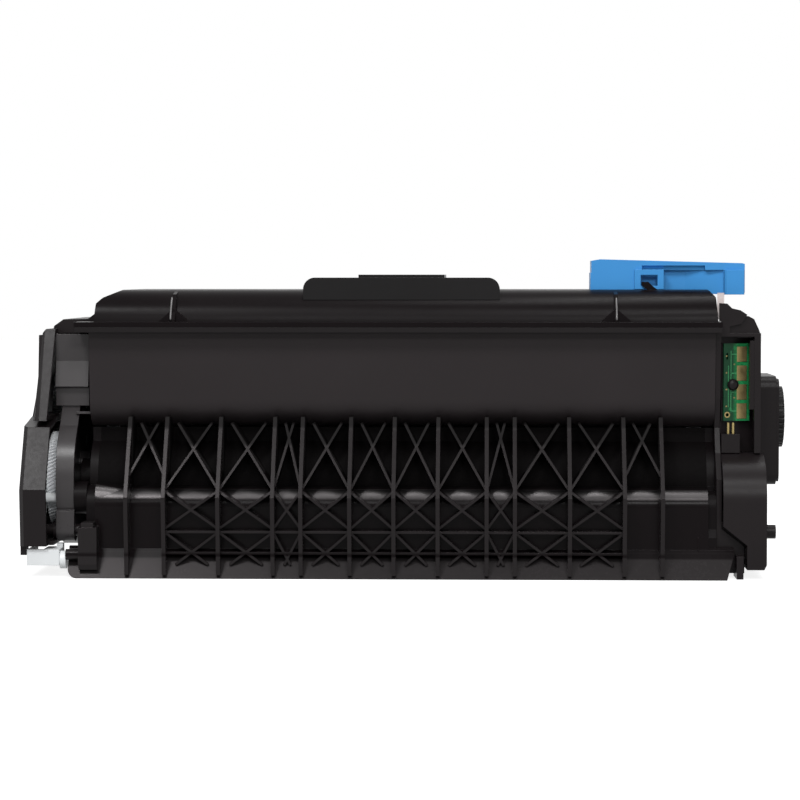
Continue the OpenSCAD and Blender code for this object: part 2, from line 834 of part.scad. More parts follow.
module developer_shaft() {
    color(steel) translate(shift) bar(developer_at, journal_r, spur_out, right_end_x);
}

module developer_sleeve() {
    color("#4a4b4e") translate(shift) difference() {
        bar(developer_at, developer_r, -sleeve_half, sleeve_half);
        bar(developer_at, developer_r - 1, -sleeve_half + 3, sleeve_half - 3);
        bar(developer_at, journal_r + seat, -sleeve_half - 1, sleeve_half + 1);
    }
}

module developer_gear() {
    color("#f1efe8") translate(shift)
        shaft_gear(developer_at, developer_teeth, developer_phase, journal_r + seat);
}

// Foam supply roller
module supply_shaft() {
    color(steel) translate(shift) bar(supply_at, journal_r, spur_out, right_end_x);
}

module supply_foam() {
    color("#3a3a3c") translate(shift) difference() {
        bar(supply_at, supply_r, -sleeve_half, sleeve_half);
        bar(supply_at, journal_r + seat, -sleeve_half - 1, sleeve_half + 1);
    }
}

module supply_gear() {
    color("#f1efe8") translate(shift)
        shaft_gear(supply_at, supply_teeth, supply_phase, journal_r + seat);
}

// Agitator: a shaft with a rail on arms that carries the stirring film
rail_at = [agitator_at[0], agitator_at[1] + film_reach - 12];

module agitator_shaft() {
    arm_w = 2;
    reach = half - hopper_wall - 6;
    color("#f1efe8") translate(shift) {
        bar(agitator_at, journal_r, spur_out, half - hopper_wall - 1);
        block(-reach, reach, rail_at[0] - 1.2, rail_at[0] + 1.2, rail_at[1] - 1, rail_at[1] + 1);
        for (k = [-3 : 3]) {
            x = k * reach / 3 - sign(k) * arm_w / 2;
            block(x - arm_w / 2, x + arm_w / 2, rail_at[0] - 1.2, rail_at[0] + 1.2,
                  agitator_at[1] + 1, rail_at[1]);
        }
    }
}

module agitator_film() {
    reach = half - hopper_wall - 8;
    color("#dfe6ea") translate(shift)
        block(-reach, reach, rail_at[0] - 1.2 - 0.25, rail_at[0] - 1.2,
              rail_at[1] - 1, agitator_at[1] + film_reach);
}

module agitator_gear() {
    color("#f1efe8") translate(shift)
        shaft_gear(agitator_at, agitator_teeth, agitator_phase, journal_r + seat);
}

module idler_gear() {
    color("#f1efe8") translate(shift)
        shaft_gear(idler_at, idler_teeth, idler_phase, stud_r + run_fit);
}

module idler_stud() {
    color(steel) translate(shift) {
        bar(idler_at, stud_r, spur_out - 0.2, web_in);
        bar(idler_at, stud_r + 1.2, spur_in + 0.3, plate_out - seat);
    }
}

// Waste auger: inclined plates on a thin core
module auger_screw() {
    pitch = 12;
    l = guide_end - 6;
    color("#d9d5c8") translate(shift) {
        bar(auger_at, auger_journal, spur_out, -l);
        bar(auger_at, auger_journal, l, half - 1.2);
        bar(auger_at, 1.3, -l, l);
        intersection() {
            bar(auger_at, auger_r, -l, l);
            for (x = [-l + pitch : pitch : l - pitch / 2])
                translate([x, auger_at[0], auger_at[1]]) rotate([0, 50, 20]) cylinder(r = 6, h = 0.8);
        }
    }
}

module auger_gear() {
    color("#f1efe8") translate(shift)
        shaft_gear(auger_at, auger_teeth, auger_phase, auger_journal + seat);
}

// Doctor blade: steel sheet with a stiffener, in front of the chamber wall
module doctor_blade() {
    l = guide_end - 6;
    tip_y = blade_face - 0.5;
    tip_z = developer_at[1] + sqrt(pow(developer_r + air, 2) - pow(developer_at[0] - blade_face, 2));
    color(steel) translate(shift) {
        block(-l, l, tip_y, blade_face - seat, tip_z + 0.05, blade_top_z - 0.5);
        block(-l, l, tip_y - 1.2, tip_y, tip_z + 4, blade_top_z - 0.5);
    }
}

module roller_bushes() {
    color("#e9e6dc") translate(shift) for (at = [developer_at, supply_at]) for (s = [-1, 1]) {
        x0 = s > 0 ? half - hopper_wall - 2 : -half - 0.8;
        x1 = s > 0 ? half - seat : -half + hopper_wall + 2;
        difference() {
            union() {
                bar(at, bush_r, x0, x1);
                if (s < 0) bar(at, bush_r + 0.9, -half - 0.8, -half - seat);
            }
            bar(at, journal_r + run_fit, x0 - 1, x1 + 1);
        }
    }
}

// Left end plate that carries the gear train
ring_r = 27;
plate_top = flange_z - 1;

module left_plate_outline(t) {
    disc(drum_at, ring_r - t);
    polygon([
        [drum_at[0], drum_z - ring_r + t], [12 + t, drum_z - ring_r + t], [20 + t, 2 + t],
        [hopper_back - 5 - t / 2, 2 + t], [hopper_back - t, 7 + t],
        [hopper_back - t, plate_top - t], [-25 + t, plate_top - t],
        [-27 + t, drum_z + 30], [-38 + t, drum_z + 18]
    ]);
}

module left_end_plate() {
    rib_w = 2.2;
    lug_r = pin_r + 2.2;
    bearing_w = 2.2;
    shafts = [[developer_at, journal_r], [supply_at, journal_r], [agitator_at, journal_r]];
    color(black) translate(shift) difference() {
        union() {
            difference() {
                along_x(plate_out, plate_in) left_plate_outline(0);
                along_x(web_in, plate_in + 1) left_plate_outline(rib_w);
            }
            // Rear part of the rim, which closes the gap to the hopper and the rear cover
            along_x(plate_out, -half - seat) intersection() {
                difference() {
                    left_plate_outline(0);
                    left_plate_outline(rib_w);
                }
                rect(20, 80, 0, 120);
            }
            for (s = shafts) bar(s[0], s[1] + bearing_w, plate_out, plate_in);
            // Apron in front of the hopper corner
            block(plate_out - 2.4, -half - 1.4, -28, -25, drum_z + 30.5, plate_top);
            along_x(plate_out - 2.4, -half - 1.4)
                polygon([[-27, plate_top - 7], [-30.6, drum_z + 38.4], [-27, drum_z + 37.6]]);
            // Lug that holds the pin below the ring
            along_x(plate_out, plate_in) {
                disc(pin_at, lug_r);
                polygon([
                    [pin_at[0] - lug_r, pin_at[1]], [pin_at[0] - lug_r + 0.6, pin_at[1] + 8],
                    [pin_at[0] + 5, pin_at[1] + 10], [pin_at[0] + 10, pin_at[1] - 1],
                    [pin_at[0] + 1, pin_at[1] - lug_r]
                ]);
            }
            // Ledge at the foot of the apron
            block(plate_in - 1, -half - 0.4, -31, -26.5, drum_z + 27.2, drum_z + 28.2);
        }
        bar(drum_at, hub_r + 0.6, plate_out - 1, plate_in + 1);
        bar(auger_at, auger_journal + run_fit, plate_out - 1, web_in + 1);
        bar(idler_at, stud_r + seat, plate_out - 1, web_in + 1);
        for (s = shafts) bar(s[0], s[1] + run_fit, plate_out - 1, plate_in + 1);
        for (at = spacer_places) bar(at, screw_r + 0.2, plate_out - 1, web_in + 1);
        bar(pin_at, pin_r + seat, plate_out - 1, plate_in + 1);
        // Window that lightens the web behind the cover
        block(plate_out - 1, web_in + 1, 34, 44, 36, 58);
    }
}

// Left cover over the gears: a faceted lower part and a column above it
module lower_cover_outline(t) {
    polygon([
        [knee_y + 2 + t, 13 + t], [knee_y + t * 1.05, drum_z - 2], [knee_y + 13 + t * 0.6, 60.5 - t * 0.9],
        [-22, 64 - t * 0.5], [-8 + t, 76], [-5 + t, 97 - t],
        [agitator_at[0] + 26 - t, 97 - t], [agitator_at[0] + 34 - t, 88], [agitator_at[0] + 34 - t, 34],
        [supply_at[0] + 14 - t, 16 + t], [-15, 13 + t]
    ]);
}

module column_outline(t) {
    polygon([
        [knee_y + 12 + t * 1.2, 63 + t], [-29 + t * 1.1, 100 - t], [10 - t, 100 - t], [10 - t, 63 + t]
    ]);
}

column_out = cover_in + 1.8;

// Ends of the column in (x, z): it leans inwards as it rises
module column_ends(t) {
    lean = 1.7;
    polygon([
        [column_out + t, 60], [column_out + lean + t, 98.4 - t / 2], [column_out + lean + 1.4 + t, 100],
        [plate_out - 2.4 + 2 * t, 100], [plate_out - 3.7 + 2 * t, 60]
    ]);
}

// Prism that takes off the outer edge of the left cover from p to q in (y, z)
module front_chamfer(p, q, x0) {
    w = cover_t - 0.2;
    translate([0, p[0], p[1]]) rotate([atan2(q[1] - p[1], q[0] - p[0]), 0, 0])
        along_y(-1, norm(q - p) + 1)
            polygon([[x0 - 1, 1], [x0 - 1, -w], [x0, -w], [x0 + w, 0], [x0 + w, 1]]);
}

module left_end_cover() {
    rim_x = plate_out - 2.4;
    color(black) translate(shift) difference() {
        union() {
            along_x(left_reach, rim_x) lower_cover_outline(0);
            intersection() {
                along_x(column_out, rim_x) column_outline(0);
                along_y(-80, 80) column_ends(0);
            }
            // Tab at the lower corner, and a lip under the gears
            block(left_reach, left_reach + 2.4, knee_y + 4.5, knee_y + 10, 9.3, 15);
            block(rim_x - 1, plate_out - air, knee_y + 8, -30, 13, 14.7);
            // Tongue over the corner of the lid
            along_y(-22, 40) polygon([
                [rim_x - 2.6, 98], [rim_x - 1.6, 101.2],
                [rim_x + 2.2, lid_z + 0.8], [-half - 2.6, lid_z + 1],
                [-half + 0.6, lid_z + 3.4], [-half + 1.6, lid_z + 3.4], [-half + 1.6, lid_z + seat],
                [plate_in - 0.4, lid_z + seat], [plate_in - 0.4, 98]
            ]);
        }
        along_x(cover_in, plate_out + 4) intersection() {
            lower_cover_outline(cover_t);
            union() {
                rect(-80, 80, 0, 62);
                rect(-9, 80, 0, 120);
            }
        }
        intersection() {
            along_x(column_out + cover_t, plate_out + 4) column_outline(cover_t);
            along_y(-80, 80) column_ends(cover_t);
        }
        // Chamfered edges towards the front
        front_chamfer([knee_y + 2, 13], [knee_y, drum_z - 2], left_reach);
        front_chamfer([knee_y, drum_z - 2], [knee_y + 13, 60.5], left_reach);
        front_chamfer([knee_y + 12, 63], [-29, 100], column_out + 0.8);
        along_x(plate_out - 0.2, plate_in - 0.2) left_plate_outline(-air);
        bar(drum_at, axle_r + seat, left_reach - 1, cover_in + 1);
        bar([-25, 90], screw_r + 0.2, left_reach - 1, cover_in + 6);
    }
}

// Pin that ties the foot of the left end plate to the cover
pin_at = [-41, 18.5];
pin_r = 2.4;

module left_frame_pin() {
    color(steel) translate(shift) {
        bar(pin_at, pin_r, cover_in + 0.5, -half - 1);
        bar(pin_at, pin_r + 1.1, plate_out - 1.5, plate_out - seat);
    }
}

module left_guide_foot() {
    color("#eceae4") translate(shift) difference() {
        union() {
            block(left_reach + 2.7, plate_out + 2.5, -54, -40, 5.2, 11.6);
            bar([-50, 7.2], 3.6, plate_out + 2.5, plate_out + 5);
            block(plate_out, plate_out + 2.5, -44, -40, 5.2, 13.2 - seat);
        }
        block(left_reach + 5, plate_out - 4, -52, -30, 7, 20);
    }
}

// Right end plate
plate_front = wall_front + band_t + 0.5;

module right_plate_outline() {
    polygon([
        [hopper_front + 0.5, flange_z - seat], [hopper_front + 3, bend_z], [-32, 60], [-37, 50],
        [plate_front, 40], [plate_front, 2], [50, 2], [58, 10], [58, flange_z - seat]
    ]);
}

module right_end_plate() {
    post_x = right_plate_out + 5.4;
    color(black) translate(shift) difference() {
        union() {
            along_x(half + seat, right_plate_out) right_plate_outline();
            // Box under the diagonal of the cover, and a post in front of it
            along_y(plate_front, -20) polygon([
                [right_plate_out - 1, 2], [right_plate_out + 9.2, 2],
                [right_plate_out + 9.2, 12.8], [right_plate_out - 1, 20.6]
            ]);
            block(post_x, post_x + 2.7, plate_front - 8.5, plate_front + 1, 0.4, 9.6);
            block(post_x, post_x + 2.7, plate_front, plate_front + 6, 0.4, 3);
        }
        bar(drum_at, axle_r + seat, half, right_plate_out + 1);
        for (at = [developer_at, supply_at]) bar(at, journal_r + run_fit, half, right_plate_out + 1);
        bar(filler_at, filler_neck + seat, half, right_plate_out + 1);
        for (at = right_screws) bar(at, screw_r + 0.2, half, right_plate_out + 1);
        block(half, right_plate_out + 1, 30, 50, 14, 40);
    }
}

base_cover_top = 50;

module right_cover_outline(t) {
    disc([wall_front + 14, 31], 19 - t);
    rect(wall_front - 5 + t, wall_front + 14, 4 + t, 31);
    polygon([
        [wall_front + 14, 4 + t], [34 - t, 4 + t], [40 - t, 14],
        [40 - t, base_cover_top - t], [wall_front + 14, base_cover_top - t]
    ]);
}

module right_end_cover() {
    x0 = right_plate_out + seat;
    color(black) translate(shift) difference() {
        union() {
            intersection() {
                along_x(x0, right_cover_out) right_cover_outline(0);
                along_y(-80, 80) polygon([
                    [x0, 21.5], [x0 + 9.6, 13.8], [x0 + 9.6, 4],
                    [right_cover_out - 1, 4], [right_cover_out, 6],
                    [right_cover_out, 46], [right_cover_out - 1.2, 60], [x0, 60]
                ]);
            }
            // Locating peg
            bar(pin_at, pin_r + 0.4, right_cover_out - 1, right_cover_out + 4.4);
        }
        intersection() {
            along_x(x0 - 1, right_cover_out - cover_t) right_cover_outline(cover_t);
            along_y(-80, 80) polygon([
                [x0 - 1, 23.5], [x0 + 11.6, 15.3], [x0 + 11.6, 3],
                [right_cover_out, 3], [right_cover_out, 60], [x0 - 1, 60]
            ]);
        }
    }
}

// Upper right cover, which holds the circuit board in a window
holder_x0 = right_plate_out + seat;
holder_x1 = right_cover_out - 1.4;
holder_top = flange_z - air;
holder_low = base_cover_top + seat;
chip_x0 = right_plate_out + 1.4;
chip_w = 11.3;
chip_turn = 18;
chip_z0 = base_cover_top + 12.9;
chip_z1 = chip_z0 + 31.5;
board_y = -34;
stake_x = 3.9;
stake_z = chip_z0 + 14.7;
pad_t = 0.15;
contact_top = chip_z0 - 5.2;

// Puts what is drawn against the circuit board in its place: X along it, Y into the cartridge
module on_board() {
    translate([chip_x0, board_y, 0]) rotate([0, 0, chip_turn]) children();
}

module chip_holder() {
    color(black) translate(shift) difference() {
        union() {
            difference() {
                along_x(holder_x0, holder_x1) polygon([
                    [-38, holder_low], [-37, holder_top], [38, holder_top],
                    [40, base_cover_top + 30], [40, holder_low]
                ]);
                // Window for the board
                block(holder_x0 - 1, holder_x1 - 2.6, -50, -30, base_cover_top, holder_top - 1.4);
                // Hollow behind the window
                block(holder_x0 - 1, holder_x1 - cover_t, -31, 38,
                      base_cover_top - 1, holder_top - cover_t);
            }
            // Wall behind the board, with the ledges that seat it
            intersection() {
                on_board() union() {
                    block(-6, 20, board_t + 1, board_t + 3, holder_low, holder_top - 0.5);
                    block(-0.6, 1, board_t, board_t + 1.5, chip_z0, chip_z1);
                    block(chip_w - 1, chip_w + 0.6, board_t, board_t + 1.5, chip_z0, chip_z1);
                }
                block(holder_x0, holder_x1 - 0.5, -37, 38, holder_low, holder_top);
            }
            // Stake that is formed over the board
            on_board() {
                translate([stake_x, board_t + 1.5, stake_z]) rotate([90, 0, 0])
                    cylinder(r = 1.2, h = board_t + 2.2);
                translate([stake_x, -pad_t - seat, stake_z]) rotate([90, 0, 0])
                    rotate_extrude() polygon([[0, 0], [2.4, 0], [2.3, 0.7], [1.9, 1.4], [1.1, 1.9], [0, 1.9]]);
            }
            // Rail beside the board
            block(chip_x0 + 10.3, chip_x0 + 13, -37, -31.7, chip_z0 + 4.8, chip_z1 + 1.2);
            block(chip_x0 + 11.6, chip_x0 + 13, -32, -26, chip_z0 + 4.8, chip_z1 + 1.2);
            // Seal exit bracket at the top corner, and the shoulder behind it
            along_y(-37, -35) polygon([
                [holder_x0, holder_top - 1], [holder_x0, lid_z + 0.4], [crown_right + 0.4, lid_z + 0.4],
                [crown_right + 0.4, crown_z - 5.3], [holder_x0 + 2.4, crown_z - 5.5],
                [holder_x0 + 4.3, crown_z - 7.4], [holder_x0 + 7.8, crown_z - 8.2],
                [holder_x0 + 10.5, crown_z - 10], [holder_x0 + 8.2, lid_z - 0.6],
                [holder_x0 + 3.5, lid_z - 1.8], [holder_x0 + 3.5, holder_top - 1]
            ]);
            along_y(-35.5, 30) polygon([
                [holder_x0 + 3, holder_top - 1], [holder_x0 + 3, lid_z - 2], [holder_x0 + 8, lid_z + 2.4],
                [holder_x0 + 11.2, lid_z + 2.4], [holder_x0 + 13.4, lid_z + 1.2],
                [holder_x0 + 15.4, holder_top + 1.4],
                [holder_x1, holder_top - 0.6], [holder_x1, holder_top - 1]
            ]);
        }
        bar(filler_at, filler_neck + seat, holder_x1 - cover_t - 1, holder_x1 + 1);
    }
}

module chip_board() {
    color("#1f8a4c") translate(shift) on_board() difference() {
        block(0, chip_w, 0, board_t - seat, chip_z0, chip_z1);
        translate([stake_x, 3, stake_z]) rotate([90, 0, 0]) cylinder(r = 1.25, h = 6);
        translate([1.6, 3, chip_z0 + 2.5]) rotate([90, 0, 0]) cylinder(r = 0.7, h = 6);
        block(1.1, 1.9, -1, 3, chip_z1 - 6.5, chip_z1 - 4);
    }
}

module chip_pads() {
    pad_x0 = 5.7;
    pad_w = 4.3;
    pad_h = 6.2;
    pad_pitch = 7.7;
    first_z = chip_z1 - 1.3 - pad_h;
    color("#d9b35a") translate(shift) on_board()
        for (k = [0 : 3])
            translate([0, 0, -k * pad_pitch])
                block(pad_x0, pad_x0 + pad_w, -pad_t, 0, first_z, first_z + pad_h);
}

module contact_block() {
    color("#3b3a3c") translate(shift)
        block(chip_x0 - 1, chip_x0 + 6.4, -36.5, board_y + 1.4, base_cover_top + seat, contact_top);
}

module contact_pins() {
    color("#d9b35a") translate(shift) for (k = [0 : 1])
        translate([chip_x0 + 1.8 + 2 * k, -34.9, contact_top]) cylinder(r = 0.6, h = 4.6);
}

// Cap on the right cover, open round the filler neck: a box with rounded corners
module cap_outline(t) {
    corner = 5;
    y0 = side_cap_at[0] - side_cap_r;
    y1 = side_cap_at[0] + side_cap_r;
    z0 = side_cap_at[1] - side_cap_r;
    z1 = side_cap_at[1] + side_cap_r;
    rect(y0 + t, y1 - t, z0 + corner, z1 - corner);
    rect(y0 + corner, y1 - corner, z0 + t, z1 - t);
    for (y = [y0 + corner, y1 - corner]) for (z = [z0 + corner, z1 - corner]) disc([y, z], corner - t);
}

module right_side_cap() {
    edge = 1.2;
    color(black) translate(shift) difference() {
        union() {
            along_x(right_cover_out + seat, cap_out - edge) cap_outline(0);
            along_x(cap_out - edge, cap_out) cap_outline(edge);
            along_x(holder_x1 + seat, right_cover_out + 1) intersection() {
                cap_outline(0);
                rect(-80, 80, holder_low + seat, 120);
            }
        }
        along_x(holder_x1 - 1, cap_out - cover_t) cap_outline(cover_t);
        bar(filler_at, filler_neck + seat, right_cover_out - 1, cap_out + 1);
    }
}

module filler_cap() {
    notches = 36;
    color(black) translate(shift) {
        difference() {
            bar(filler_at, filler_r, cap_out + seat, right_reach);
            for (k = [0 : notches - 1]) {
                at = polar(filler_at, filler_r + 0.25, 360 * k / notches);
                bar(at, 0.6, cap_out - 1, right_reach + 1);
            }
            bar(filler_at, filler_r - 3, right_reach - 0.8, right_reach + 1);
        }
        bar(filler_at, filler_bore - seat, right_plate_out + 8, cap_out + seat);
    }
}

// Rear and bottom cover
module rear_cover() {
    wall = 2;
    panel = hopper_l / 9.8;
    top = floor_z + 1 - seat;
    color(black) translate(shift) difference() {
        along_x(-half, half) polygon([
            [22, 0], [hopper_back - 4, 0], [hopper_back, 4], [hopper_back, top],
            [hopper_back - wall, top], [hopper_back - wall, 5], [hopper_back - 5, wall], [22 + wall, wall],
            [22 + wall, 16], [22, 16]
        ]);
        // Shallow panels in the underside
        for (k = [-4 : 4]) block((k - 0.38) * panel, (k + 0.38) * panel, 31, 51, -1, 0.8);
    }
}

// Blue pull handle of the toner seal: it leans down a little to the right
module seal_handle() {
    z0 = seal_z0;
    z1 = crown_z + seal_h;
    x0 = seal_x0;
    x1 = seal_x1;
    wall = 1.8;
    deep = 4.2;
    lip_z = z1 - 4.4;
    grip_x = x1 - 8.2;
    color("#3f97dd") translate(shift) difference() {
        union() {
            difference() {
                along_y(seal_front, seal_front + seal_d) polygon([
                    [x0 - 0.4, z0], [x0 - 0.4, z0 + 7], [x0, z0 + 7], [x0, z1 - 0.6], [x0 + 3.6, z1],
                    [x1 - 1, z1 - 1.6], [x1, z1 - 1.9], [x1, z0 - 1.2], [grip_x, z0 - 2],
                    [x0 + 30, z0 - 0.6], [x0 + 29, z0]
                ]);
                // Hollow back
                block(x0 + wall, x1 - wall, seal_front + 6.5, seal_front + seal_d + 1,
                      z0 + wall, z1 - wall - 1.9);
                // Recess of the front: a back wall, an oblique face and a slope up to the grip
                along_z(z0 - 4, lip_z) polygon([
                    [x0 + 20.7, seal_front - 1], [x0 + 20.7, seal_front + deep],
                    [x0 + 38.6, seal_front + deep], [x0 + 46.4, seal_front + 2.2],
                    [grip_x - 0.4, seal_front + 1], [grip_x - 0.4, seal_front - 1]
                ]);
                // Scoop under the lip
                along_x(x0 + 20.7, x0 + 46.4) disc([seal_front, lip_z], 1.8);
            }
            // Grip that stands forward at the right end
            along_z(z0 - 2, z1 - 4.4) polygon([
                [grip_x - 0.4, seal_front + 1.2], [grip_x, seal_front - 1.4],
                [grip_x + 0.8, seal_front - 2], [x1 - 0.4, seal_front - 1.2], [x1, seal_front + 1]
            ]);
            // Loop that the hook of the lid holds
            block(loop_x0, loop_x0 + loop_w, loop_front, seal_front + 1.4,
                  loop_low_z - 1.4, lip_z + 0.2);
        }
        block(loop_x0 + loop_bar, loop_x0 + loop_w - loop_bar, loop_front - 1, seal_front + 3,
              loop_low_z, lip_z - 2);
        crown(-seat);
        lid_hook_room();
    }
}

// Room that the hook of the lid keeps in the seal handle
module lid_hook_room() {
    x0 = loop_x0 + loop_bar;
    block(x0, x0 + 4, seal_front - 1, seal_front + 3.4, loop_low_z - seat, loop_low_z + 2);
}

// Short end of the toner seal between its slot and the handle
module seal_film() {
    color("#d8c9c4") translate(shift)
        block(half + 1.6, half + 4.4, seal_front - 0.6, seal_front - 0.3, lid_z + 0.9, crown_z - 1.2);
}

module screw(at, x, s) {
    bar(at, screw_r - seat, min(x, x - 6 * s), max(x, x - 6 * s));
    difference() {
        bar(at, 2.3, min(x, x + 1.4 * s), max(x, x + 1.4 * s));
        block(x - 3, x + 3, at[0] - 1.4, at[0] + 1.4, at[1] - 0.25, at[1] + 0.25);
    }
}

module cover_screws() {
    color(steel) translate(shift) {
        for (at = spacer_places) screw(at, plate_out - seat, -1);
        for (at = right_screws) screw(at, right_plate_out + seat, 1);
    }
}

toner_hopper();
hopper_lid();
carry_handle();
paper_guide();
waste_frame();
left_end_plate();
left_end_cover();
left_guide_foot();
left_frame_pin();
right_end_plate();
right_end_cover();
right_side_cap();
chip_holder();
chip_board();
chip_pads();
contact_block();
contact_pins();
rear_cover();
seal_handle();
seal_film();
filler_cap();
drum_axle();
idler_stud();
doctor_blade();
wiper_bracket();
wiper_blade();
charge_springs();
charge_blocks();
roller_bushes();
cover_screws();
drum_tube();
drum_flange_left();
drum_helical_gear();
drum_flange_right();
charge_shaft();
charge_rubber();
developer_shaft();
developer_sleeve();
developer_gear();
supply_shaft();
supply_foam();
supply_gear();
agitator_shaft();
agitator_film();
agitator_gear();
idler_gear();
auger_screw();
auger_gear();
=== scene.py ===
"""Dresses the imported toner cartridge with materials, four small trim pieces, light and a camera.

Blender and the frame are in metres. Places on the cartridge are written in millimetres, from the
hopper's middle along X, from the zero line of the part's source along Y and from the underside
along Z. MM and SHIFT turn them into places in the frame.
"""
import math

import bmesh
import bpy
from mathutils import Matrix, Vector


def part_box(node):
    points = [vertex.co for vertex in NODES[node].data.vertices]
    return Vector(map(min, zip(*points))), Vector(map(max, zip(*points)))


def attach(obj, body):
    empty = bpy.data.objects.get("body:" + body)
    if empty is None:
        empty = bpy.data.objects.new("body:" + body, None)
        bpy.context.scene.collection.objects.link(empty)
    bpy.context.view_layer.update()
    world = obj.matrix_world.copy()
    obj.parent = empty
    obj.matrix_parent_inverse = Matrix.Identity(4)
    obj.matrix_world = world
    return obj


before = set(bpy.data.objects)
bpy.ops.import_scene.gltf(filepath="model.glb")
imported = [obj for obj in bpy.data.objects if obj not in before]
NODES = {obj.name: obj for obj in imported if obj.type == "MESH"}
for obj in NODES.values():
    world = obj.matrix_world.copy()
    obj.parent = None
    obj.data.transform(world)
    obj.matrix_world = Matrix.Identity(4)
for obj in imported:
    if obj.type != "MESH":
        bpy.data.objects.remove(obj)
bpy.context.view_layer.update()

MM = 0.001
DRUM_MIDDLE = Vector((0.0, -19.0, 38.0))    # the middle of the drum tube, in the source's millimetres
DRUM_LOW, DRUM_HIGH = (Vector(corner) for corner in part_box("drum_tube"))
SHIFT = (DRUM_LOW + DRUM_HIGH) / 2 - DRUM_MIDDLE * MM
scene = bpy.context.scene


def at(x, y, z):
    """The place in the frame of a point given in the source's millimetres."""
    return Vector((x, y, z)) * MM + SHIFT


# Node helpers
MIX_FACTOR, MIX_A, MIX_B, MIX_RESULT = 0, 6, 7, 2    # the Mix node's sockets for colours
NOISE_SPAN = (0.3, 0.7)      # holds nearly all the values of a noise
EDGE_SPAN = (0.96, 0.80)     # how well the rounded normal agrees with the flat one, face to edge
BEVEL_SAMPLES = 4
PATCH_SCALE, CLOUD_SCALE, SPECK_SCALE = 22.0, 45.0, 520.0    # how many waves of a noise to the metre
GRAIN_HEIGHT = 0.03 * MM


class Nodes:
    """Short ways to add nodes to a tree, whose inputs are numbers, colours or other nodes' sockets."""

    def __init__(self, tree):
        self.tree = tree

    def link(self, source, socket):
        self.tree.links.new(source, socket)

    def put(self, value, socket):
        if isinstance(value, bpy.types.NodeSocket):
            self.link(value, socket)
        elif socket.type == "RGBA":
            socket.default_value = (*value[:3], 1.0)
        else:
            socket.default_value = value

    def node(self, kind, inputs=None, **settings):
        new = self.tree.nodes.new(kind)
        for key, value in settings.items():
            setattr(new, key, value)
        for key, value in (inputs or {}).items():
            self.put(value, new.inputs[key])
        return new

    def math(self, operation, a, b):
        return self.node("ShaderNodeMath", {0: a, 1: b}, operation=operation).outputs[0]

    def times(self, a, b):
        return self.math("MULTIPLY", a, b)

    def plus(self, a, b):
        return self.math("ADD", a, b)

    def mix(self, factor, a, b):
        inputs = {MIX_FACTOR: factor, MIX_A: a, MIX_B: b}
        return self.node("ShaderNodeMix", inputs, data_type="RGBA").outputs[MIX_RESULT]

    def remap(self, value, start, end, low=0.0, high=1.0):
        """Low at the start, high at the end, even between them and level beyond them."""
        inputs = {"Value": value, "From Min": start, "From Max": end, "To Min": low, "To Max": high}
        return self.node("ShaderNodeMapRange", inputs).outputs["Result"]


def blank_material(name):
    mat = bpy.data.materials.new(name)
    mat.use_nodes = True
    mat.node_tree.nodes.clear()
    return mat


class Shader(Nodes):
    """One Principled material, with helpers for its patterns."""

    def __init__(self, name, constants):
        self.mat = blank_material(name)
        super().__init__(self.mat.node_tree)
        self.bsdf = self.node("ShaderNodeBsdfPrincipled", constants)
        self.node("ShaderNodeOutputMaterial", {"Surface": self.bsdf.outputs["BSDF"]})
        self.coords = self.node("ShaderNodeTexCoord").outputs["Object"]

    def mapped(self, **changes):
        """The coordinates with another Scale or Rotation."""
        return self.node("ShaderNodeMapping", {"Vector": self.coords, **changes}).outputs["Vector"]

    def noise(self, scale, detail=3.0, rough=0.55, vector=None):
        inputs = {"Scale": scale, "Detail": detail, "Roughness": rough, "Vector": vector or self.coords}
        return self.node("ShaderNodeTexNoise", inputs).outputs["Fac"]

    def cells(self, scale):
        inputs = {"Scale": scale, "Vector": self.coords}
        return self.node("ShaderNodeTexVoronoi", inputs).outputs["Distance"]

    def rounded(self, radius):
        """The normal, rounded over the edges."""
        bevel = self.node("ShaderNodeBevel", {"Radius": radius}, samples=BEVEL_SAMPLES)
        return bevel.outputs["Normal"]

    def edge_mask(self, rounded):
        """1 on the edges, where the rounded normal leaves the flat one, and 0 on the faces."""
        flat = self.node("ShaderNodeNewGeometry").outputs["Normal"]
        dot = self.node("ShaderNodeVectorMath", {0: rounded, 1: flat}, operation="DOT_PRODUCT")
        return self.remap(dot.outputs["Value"], *EDGE_SPAN)

    def position(self):
        """The place in the frame, as the outputs X, Y and Z."""
        return self.node("ShaderNodeSeparateXYZ", {"Vector": self.coords}).outputs

    def window(self, position, axis, low, high, soft):
        """1 between two places in millimetres along an axis, fading to 0 over a soft width beyond."""
        shift = SHIFT["XYZ".index(axis)]
        sides = [self.remap(position[axis], outside * MM + shift, inside * MM + shift)
                 for outside, inside in ((low - soft, low), (high + soft, high))]
        return self.times(*sides)

    def bump(self, height, strength, distance, normal=None):
        inputs = {"Strength": strength, "Distance": distance, "Height": height}
        if normal is not None:
            inputs["Normal"] = normal
        return self.node("ShaderNodeBump", inputs).outputs["Normal"]

    def finish(self, color, rough, normal):
        for key, value in (("Base Color", color), ("Roughness", rough), ("Normal", normal)):
            self.put(value, self.bsdf.inputs[key])
        return self.mat


# Materials
def scaled(color, factor):
    return tuple(c * factor for c in color)


